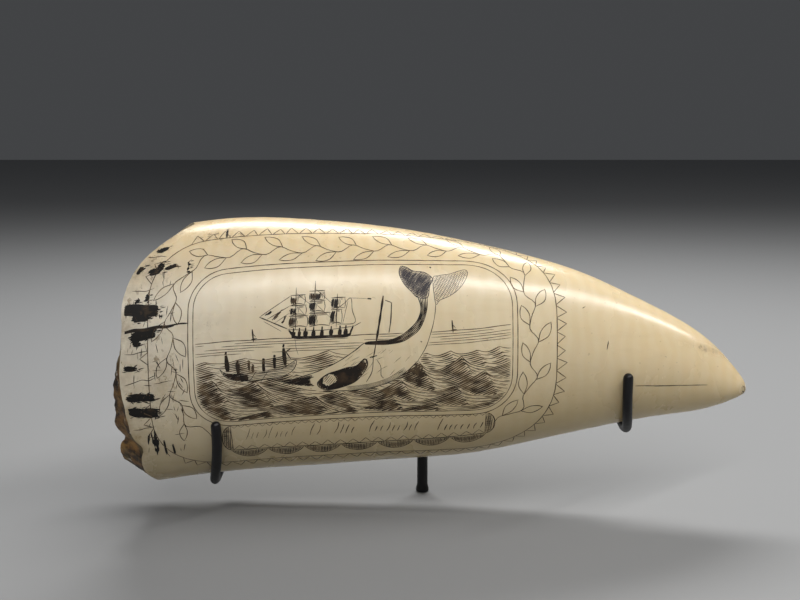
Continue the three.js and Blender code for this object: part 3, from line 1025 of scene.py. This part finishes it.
def ship():
    """A generic three-masted ship under sail, bow to the left."""
    cutter = Engraving(15)
    keel = ((-18.2, 3.4), (-17.0, 1.9), (-15.8, 1.1), (-9.0, 0.9), (-2.2, 0.9), (-1.2, 2.0), (-0.5, 3.4))
    for lift, width in ((0.0, 0.5), (0.4, 0.35)):
        cutter.draw([(p, q + lift) for p, q in keel], 0.6, width, taper=0.3)
    cutter.draw([(-18.2, 3.6), (-9.0, 2.9), (-0.5, 3.5)], 0.8, 0.16)
    for port in (-16.9, -15.3, -13.6, -11.4, -9.1, -6.6, -4.2, -2.6):
        wide = cutter.random.uniform(0.9, 1.2)
        cutter.draw([(port - 0.1, 1.2), (port + 0.1, 2.9)], 0.5, wide, taper=0.8)
        cutter.draw([(port, 2.6), (port + 0.1, 3.9)], 0.5, 0.4, taper=0.8)
    masts = ((-16.3, 15.2, 0.1), (-11.3, 16.8, 0.35), (-5.2, 12.8, 0.3))
    for p, top, lean in masts:
        cutter.draw([(p, 3.4), (p + lean, top)], 0.9, 0.22, taper=0.3)
    sail(cutter, -17.5, -13.9, 10.2, 13.0, 0.38)
    sail(cutter, -17.7, -13.6, 7.3, 10.1, 0.42)
    sail(cutter, -17.9, -13.2, 4.0, 7.2, 0.34)
    sail(cutter, -12.4, -8.6, 11.1, 13.9, 0.8)
    sail(cutter, -12.3, -8.5, 7.9, 11.0, 0.3)
    sail(cutter, -12.5, -7.0, 4.0, 7.7, 0.3)
    sail(cutter, -6.4, -2.9, 8.6, 11.7, 0.5)
    sail(cutter, -6.4, -3.8, 4.4, 8.4, 0.3)
    spanker = ((-5.0, 8.6), (-3.0, 10.0), (-1.2, 11.4), (-0.8, 8.0), (-0.1, 4.5), (-4.8, 4.3))
    outline(cutter, spanker, 0.16, closed=False)
    cutter.draw([(-2.0, 10.6), (-3.4, 4.4)], 0.9, 0.13)
    cutter.draw([(-0.6, 3.4), (1.6, 4.5)], 0.8, 0.2)
    for a, b, width in (
        ((-18.3, 3.7), (-26.2, 7.7), 0.28), ((-26.1, 7.7), (-17.6, 12.9), 0.17),
        ((-24.2, 6.8), (-17.7, 10.2), 0.15), ((-20.2, 3.3), (-25.0, 6.4), 0.13),
        ((-22.0, 5.7), (-17.9, 8.2), 0.13), ((-16.2, 13.6), (-11.4, 9.4), 0.11),
        ((-11.0, 14.6), (-5.4, 9.2), 0.11), ((-16.0, 10.0), (-12.6, 6.0), 0.1),
        ((-10.9, 10.4), (-6.6, 6.0), 0.1),
    ):
        cutter.draw([a, b], 0.9, width)
    for jib in (
        ((-25.4, 7.6), (-23.4, 8.2), (-21.4, 10.4), (-22.8, 9.2), (-24.4, 8.4)),
        ((-23.0, 6.3), (-21.4, 6.8), (-19.6, 9.6), (-21.0, 8.4), (-22.2, 7.4)),
        ((-20.4, 5.2), (-19.4, 5.8), (-18.6, 7.8), (-19.6, 6.8)),
    ):
        hatch(cutter, np.array(jib), 40, 0.26, 0.3)
    cutter.draw([(-1.2, 11.4), (3.4, 11.0)], 0.9, 0.1)
    return cutter.lay("engraved_ship", DARK_INK)


def boat():
    """A whaleboat with its crew, and far sails on the horizon."""
    cutter = Engraving(16)
    shape = curve(BOAT, 0.6, True)
    hatch(cutter, shape, 3, 0.42, 0.17, jitter=0.2)
    stern = shape[shape[:, 0] < -28.5]
    hatch(cutter, stern, 6, 0.26, 0.34, jitter=0.2)
    outline(cutter, BOAT, 0.2)
    for p, q, tall, wide in (
        (-35.1, -6.4, 5.6, 1.15), (-32.2, -7.4, 3.7, 1.2), (-29.2, -6.8, 2.8, 0.7), (-28.2, -7.4, 2.2, 0.9),
        (-25.2, -7.4, 3.6, 0.95), (-22.2, -6.9, 3.8, 0.95), (-19.3, -6.2, 5.9, 0.95),
    ):
        lean = cutter.random.uniform(-0.35, 0.25)
        body = curve([(p + 0.1, q), (p + lean * 0.4, q + tall * 0.45), (p + lean, q + tall * 0.82)], 0.5)
        cutter.stroke(on_picture(body), wide, taper=0.7)
        head = curve([(p + lean - 0.1, q + tall * 0.85), (p + lean + 0.1, q + tall)], 0.2)
        cutter.stroke(on_picture(head), 0.62, taper=0.9)
    for a, b in (((-19.2, -2.6), (-17.6, -1.6)), ((-19.0, -2.4), (-17.6, -4.6))):
        cutter.draw([a, b], 0.5, 0.3)
    spray = ((-15.6, -3.6), (-16.2, -1.4), (-16.4, 0.6), (-17.4, 2.6), (-18.6, 3.4))
    cutter.draw(spray, 0.8, 0.1)
    for p in (-30.8, -27.0, -23.6):
        cutter.draw([(p, -7.0), (p - 2.6, -10.6)], 0.9, 0.14)
    for p, tall in ((-27.8, 2.9), (27.0, 2.9)):
        q = float(horizon(p))
        cutter.draw([(p, q - 0.5), (p - 0.3, q + tall)], 0.7, 0.38, taper=0.6)
        cutter.draw([(p - 0.6, q + 0.1), (p + 1.0, q + 0.3)], 0.7, 0.34)
        cutter.draw([(p - 0.2, q + tall * 0.6), (p + 0.7, q + 0.7)], 0.5, 0.16)
    return cutter.lay("engraved_boat", DARK_INK)


def whale():
    """A generic sperm whale, jaw open, its tail thrown up out of the sea."""
    cutter = Engraving(17)
    outline(cutter, BACK, 0.24, closed=False)
    outline(cutter, BELLY[:6], 0.17, closed=False)
    outline(cutter, BELLY[5:], 0.24, closed=False)
    outline(cutter, MOUTH, 0.26)
    mouth = curve(MOUTH, 0.6, True)
    hatch(cutter, mouth, 28, 0.25, 0.34, jitter=0.15, leave=curve(TONGUE, 0.6, True))
    hatch(cutter, mouth, 110, 0.5, 0.24, leave=curve(TONGUE, 0.6, True))
    hatch(cutter, curve(TONGUE, 0.6, True), 50, 0.5, 0.15)
    hatch(cutter, curve(JAW, 0.6, True), 10, 0.27, 0.32)
    flowing(cutter, BACK[5:], STOCK, 6, 0.27)
    for _ in range(26):
        start = (cutter.random.uniform(-4, 16), cutter.random.uniform(-10, -3))
        if not inside(whale_shape(), [start])[0] or inside(mouth, [start])[0]:
            continue
        end = (start[0] - cutter.random.uniform(1, 3), start[1] - cutter.random.uniform(0.8, 2.0))
        cutter.draw([start, end], 0.8, 0.09)
    flowing(cutter, BELLY[6:10], [(p - 0.6, q + 1.1) for p, q in BELLY[6:10]], 4, 0.11, 0.25)
    return cutter.lay("engraved_whale", DARK_INK)


def flukes():
    """The whale's tail: one fluke dark and cross-cut, the other in fine parallel cuts."""
    cutter = Engraving(18)
    left, right = curve(LEFT_FLUKE, 0.6, True), curve(RIGHT_FLUKE, 0.6, True)
    outline(cutter, LEFT_FLUKE, 0.24)
    hatch(cutter, left, 62, 0.3, 0.26, bend=0.6)
    hatch(cutter, left, -28, 0.42, 0.2)
    outline(cutter, RIGHT_FLUKE, 0.17)
    hatch(cutter, right, -34, 0.42, 0.12, bend=0.8)
    hatch(cutter, right, 64, 0.7, 0.1, bend=-0.6)
    return cutter.lay("engraved_flukes", BLUE_INK)


def lances():
    """Two lances standing in the whale's back."""
    cutter = Engraving(19)
    for points, width in (
        (((7.7, 11.7), (6.8, 5.2), (5.8, -1.0)), 0.55), (((5.8, -1.0), (5.1, -5.0)), 0.28),
        (((4.0, -5.4), (6.0, -4.9)), 0.36), (((4.7, -5.4), (5.1, -5.1)), 0.6),
        (((5.0, -5.3), (4.6, -9.4), (3.0, -12.4)), 0.2),
        (((6.0, -6.2), (7.0, -8.0), (7.1, -10.6), (7.8, -11.4)), 0.16),
        (((8.2, 10.4), (10.0, 9.7)), 0.22), (((10.0, 9.7), (9.8, 5.0), (9.3, 1.4)), 0.3),
        (((3.4, 11.0), (4.4, 10.9)), 0.55), (((20.6, 20.2), (21.0, 19.9)), 0.5),
        (((18.0, -1.2), (18.4, -1.4)), 0.35),
    ):
        cutter.draw(points, 0.6, width, taper=0.6)
    return cutter.lay("engraved_lances", DARK_INK)


RIBBON_LEFT, RIBBON_RIGHT, RIBBON_CAP = -38.0, 39.4, 2.7
RIBBON_FOOT = ((-35.3, -32.8), (-15.0, -33.3), (10.0, -33.0), (36.7, -31.1))
RIBBON_HEAD = ((-35.3, -23.4), (0.0, -23.6), (36.7, -23.2))
SCALLOPS = 7


def ribbon():
    """The ribbon below the picture: saw-toothed edges, hatched ends, and scallops hatched both ways."""
    cutter = Engraving(20)
    foot, head = curve(RIBBON_FOOT, 0.5), curve(RIBBON_HEAD, 0.5)
    low = lambda p: np.interp(p, foot[:, 0], foot[:, 1])
    high = lambda p: np.interp(p, head[:, 0], head[:, 1])
    cutter.stroke(on_picture(foot[::2]), 0.26)
    for edge, sign in ((RIBBON_LEFT, 1), (RIBBON_RIGHT, -1)):
        inner = edge + sign * RIBBON_CAP
        middle, half = (high(inner) + low(inner)) / 2, (high(inner) - low(inner)) / 2
        turns = np.radians(np.linspace(90, 270, 13))
        cap = [(inner + sign * RIBBON_CAP * math.cos(t), middle + half * math.sin(t)) for t in turns]
        cutter.draw(cap, 0.8, 0.28)
        cutter.draw([cap[0], cap[-1]], 0.9, 0.2)
        hatch(cutter, np.array(cap), 4, 0.42, 0.25)
        hatch(cutter, np.array(cap), 84, 0.6, 0.16)
    saw(cutter, head, 1.95, -0.95)
    saw(cutter, foot, 3.45, 1.9)
    left, right = foot[0, 0] - 0.6, foot[-1, 0] + 0.4
    width = (right - left) / SCALLOPS
    for i in range(SCALLOPS):
        p = left + width * (i + np.linspace(0, 1, 11))
        bowl = np.stack([p, low(p) - 0.1 - 3.4 * np.sin(np.linspace(0, math.pi, 11)) ** 0.8], -1)
        bowl[0, 1], bowl[-1, 1] = low(p[0]), low(p[-1])
        cutter.draw(bowl, 0.8, 0.26)
        hatch(cutter, bowl, 88, 0.44, 0.25)
        hatch(cutter, bowl, 3, 0.62, 0.17)
    return cutter.lay("engraved_ribbon", LINE_INK)


def saw(cutter, edge, pitch, height):
    """A row of zigzags standing on an edge."""
    count = int((edge[-1, 0] - edge[0, 0]) / pitch)
    for i in range(count):
        p = edge[0, 0] + (edge[-1, 0] - edge[0, 0]) * (i + np.array([0, 0.5, 1.0])) / count
        q = np.interp(p, edge[:, 0], edge[:, 1]) + [0, height * cutter.random.uniform(0.85, 1.1), 0]
        for a in (0, 1):
            cutter.draw([(p[a], q[a]), (p[a + 1], q[a + 1])], 0.7, 0.18, taper=0.6)


def inscription():
    """Groups of slanted strokes where the writing was. They are no letters."""
    cutter = Engraving(21)
    rnd = cutter.random
    groups = (
        (-31.4, 4, 0.15), (-25.0, 5, 0.15), (-13.2, 2, 0.22),
        (-6.4, 4, 0.24), (3.6, 9, 0.26), (23.0, 8, 0.3),
    )
    for start, count, width in groups:
        p = start
        for i in range(count):
            tall = 4.3 if i == 0 else rnd.choice((2.0, 2.3, 3.4))
            low = -28.9 + rnd.uniform(-0.2, 0.2)
            lean = tall * 0.36
            bow = rnd.uniform(-0.35, 0.35)
            middle = (p + lean / 2 + bow, low + tall / 2)
            cutter.draw([(p, low), middle, (p + lean, low + tall)], 0.6, width, taper=0.35)
            p += rnd.uniform(1.45, 1.95)
    return cutter.lay("engraved_strokes", LINE_INK)


# ------------------------------------------------------------------ stains, cracks and knocks
BLOTS = (  # black ink run into the broken enamel: x from and to, v from and to, how far v climbs with x
    (-83.6, -72.6, 17.2, 20.6, -1.6),
    (-80.6, -75.2, 14.6, 18.2, 0.0),
    (-77.2, -75.6, 19.6, 22.6, 0.0),
    (-81.6, -73.4, 9.6, 12.4, 0.2),
    (-80.6, -78.0, 8.0, 10.4, 0.0),
    (-83.4, -78.6, 1.8, 3.4, -0.6),
    (-82.9, -74.4, -7.2, -4.6, -1.0),
    (-82.7, -73.6, -11.8, -8.6, -1.6),
    (-77.0, -72.4, 27.4, 29.6, 0.6),
    (-74.6, -72.0, 29.0, 31.6, 0.0),
    (-72.4, -68.4, 28.6, 29.8, 0.6),
    (-80.6, -77.8, 28.6, 30.4, 1.0),
    (-75.4, -71.4, 34.6, 36.0, 1.0),
    (-66.1, -64.8, 26.8, 30.6, 0.0),
    (-80.2, -78.8, 20.0, 21.2, 0.0),
)


def blot(cutter, x0, x1, v0, v1, climb):
    """A ragged solid patch: wide cuts for its body and fine ones for its torn ends."""
    rnd = cutter.random
    middle, half = (v0 + v1) / 2, (v1 - v0) / 2
    rows = max(2, int((v1 - v0) / 0.55))
    for i in range(rows):
        share = (i + 0.5) / rows * 2 - 1
        pull = (x1 - x0) * 0.16 * abs(share) ** 2.5
        a, b = x0 + pull * rnd.random() + rnd.gauss(0, 0.3), x1 - pull * rnd.random() - rnd.random() * 0.9
        v = middle + share * (half - 0.3)
        path = [(a, v), ((a + b) / 2, v + climb / 2 + rnd.uniform(-0.15, 0.15)), (b, v + climb)]
        cutter.stroke(curve(path, 0.7), 0.8, taper=0.35, uneven=0.25)
    for i in range(int((x1 - x0) * 2.2)):
        share = rnd.random()
        x = x0 + (x1 - x0) * share
        edge = middle + climb * share + half * rnd.choice((-1, 1))
        turn = math.radians(rnd.choice((0, 10, 90, 170)) + rnd.gauss(0, 18))
        size = rnd.uniform(0.4, 1.5)
        offset = np.array([math.cos(turn), math.sin(turn)]) * size / 2
        cutter.stroke(curve([(x, edge) - offset, (x, edge) + offset], 0.5), rnd.uniform(0.15, 0.45), 0.2)
    for i in range(rows):
        v = middle + climb + rnd.uniform(-half, half)
        cutter.stroke(curve([(x1 - 0.6, v), (x1 + rnd.uniform(0.2, 1.4), v + 0.1)], 0.5), 0.2, 0.1)


def stains():
    cutter = Engraving(31)
    rnd = cutter.random
    for place in BLOTS:
        blot(cutter, *place)
    for _ in range(30):
        x = -76.0 + rnd.gauss(0, 0.55)
        v = -21.8 + rnd.gauss(0, 2.3)
        tall = rnd.uniform(1.5, 4.0)
        slant = rnd.uniform(-0.5, 0.2)
        cutter.stroke(curve([(x + slant, v - tall / 2), (x, v + tall / 2)], 0.7), 0.42, 0.15)
    for x, v0, v1 in ((-73.9, -21.0, -26.8), (-71.6, -22.8, -27.0), (-56.2, 41.2, 37.4)):
        for shift in (0.0, 0.28):
            cutter.stroke(curve([(x + shift, v0), (x + 0.2 + shift, v1)], 0.8), 0.34, 0.3)
    return cutter.lay("ink_in_broken_enamel", BLOT_INK)


WORN_PLACES = (  # x from and to, v from and to, how many stray cuts
    (-82, -72, -3, 8, 26),
    (-81, -70, 13, 27, 16),
    (-74, -66, -16, 4, 34),
    (-80, -68, -30, -14, 14),
)


def cracks():
    """Age cracks that start at the rim, worn cuts beside them, and the knocks near the tip."""
    cutter = Engraving(32)
    rnd = cutter.random
    for shift, width, end in ((0.0, 0.5, -65.2), (-0.3, 0.45, -69.0), (0.25, 0.3, -72.0)):
        path = [(x, 12.75 + shift + 0.12 * math.sin(x)) for x in np.linspace(-83.4, end, 14)]
        cutter.stroke(curve(path, 0.8), width, 0.25)
    for v in (-16.0, -2.2, 6.6, 24.0, 33.5):
        x, path = -83.4 + abs(v) * 0.09, []
        for _ in range(rnd.randint(4, 6)):
            path.append((x, v))
            x += rnd.uniform(1.6, 2.8)
            v += rnd.uniform(-0.6, 0.6)
        cutter.stroke(curve(path, 0.7), 0.2, 0.1)
    for x0, x1, v0, v1, count in WORN_PLACES:
        for _ in range(count):
            x, v = rnd.uniform(x0, x1), rnd.uniform(v0, v1)
            turn = math.radians(rnd.choice((0, 90, 75, 105)) + rnd.gauss(0, 12))
            size = rnd.uniform(0.8, 3.2)
            end = (x + size * math.cos(turn), v + size * math.sin(turn))
            cutter.stroke(curve([(x, v), end], 0.7), rnd.uniform(0.1, 0.24), 0.1)
    for points, width in (
        (((60.5, -5.4), (68.0, -4.6), (75.0, -3.5), (83.0, -2.0)), 0.2),
        (((66.0, -4.9), (72.0, -4.1)), 0.28), (((51.6, 4.6), (52.1, 7.3)), 0.3),
        (((69.2, 4.4), (69.7, 4.2)), 0.5), (((44.6, 16.2), (45.6, 16.9)), 0.28),
        (((-62.4, 34.2), (-61.8, 34.0)), 0.9),
    ):
        cutter.stroke(curve(points, 0.6), width, 0.15)
    for _ in range(16):
        x, v = 95.7 + rnd.uniform(-0.6, 0.5), rnd.uniform(-1.9, 0.6)
        cutter.stroke(curve([(x, v), (x + 0.4, v - 0.4)], 0.3), 0.5, 0.4)
    return cutter.lay("age_cracks", DARK_INK)


# ------------------------------------------------------------------ floor, light and camera
def floor():
    half = 3.0
    mesh = bpy.data.meshes.new("floor")
    corners = [(-half, -half, 0), (half, -half, 0), (half, half, 0), (-half, half, 0)]
    mesh.from_pydata(corners, [], [(0, 1, 2, 3)])
    s = Shader("pale_floor")
    s.set(Base_Color=(0.28, 0.285, 0.292), Roughness=0.7)
    mesh.materials.append(s.material)
    made = bpy.data.objects.new("floor", mesh)
    bpy.context.scene.collection.objects.link(made)


def area_light(name, place, aim, size, power, colour=(1.0, 1.0, 1.0)):
    data = bpy.data.lights.new(name, "AREA")
    data.shape = "RECTANGLE"
    data.size, data.size_y = size
    data.energy = power
    data.color = colour
    lamp = bpy.data.objects.new(name, data)
    lamp.location = place
    lamp.rotation_euler = (Vector(aim) - Vector(place)).to_track_quat("-Z", "Y").to_euler()
    bpy.context.scene.collection.objects.link(lamp)


CAMERA_X, CAMERA_AWAY, CAMERA_HEIGHT, LOOK_DOWN = -0.0072, 0.2934, 0.1167, 10.0
LENS, SENSOR = 45.0, 36.0
SKY_COLOUR, SKY_STRENGTH = (0.55, 0.57, 0.60, 1), 0.10


def light_and_camera():
    low, high = (Vector(corner) for corner in CAD_BOX)
    middle = (low + high) / 2
    area_light("overhead", (0.02, middle.y + 0.40, 0.60), middle, (0.6, 0.12), 4.2, (1.0, 0.99, 0.97))
    area_light("tube", (0.30, middle.y - 0.34, 0.66), middle, (1.5, 0.035), 7.4, (1.0, 0.98, 0.95))
    area_light("front_fill", (-0.35, -1.1, 0.75), middle, (0.8, 0.6), 1.8, (0.98, 0.98, 1.0))
    world = bpy.data.worlds.new("studio")
    world.use_nodes = True
    sky = world.node_tree.nodes["Background"].inputs
    sky["Color"].default_value = SKY_COLOUR
    sky["Strength"].default_value = SKY_STRENGTH
    bpy.context.scene.world = world
    bpy.context.scene.view_settings.view_transform = "Standard"
    data = bpy.data.cameras.new("camera")
    data.lens = LENS
    data.sensor_width = SENSOR
    camera = bpy.data.objects.new("camera", data)
    camera.location = (CAMERA_X, middle.y - CAMERA_AWAY, CAMERA_HEIGHT)
    camera.rotation_euler = (math.radians(90.0 - LOOK_DOWN), 0.0, 0.0)
    bpy.context.scene.collection.objects.link(camera)
    bpy.context.scene.camera = camera


light_and_camera()
floor()
tooth()
cradle()
picture_frame()
border()
vine()
sea()
ship()
boat()
whale()
flukes()
lances()
ribbon()
inscription()
stains()
cracks()
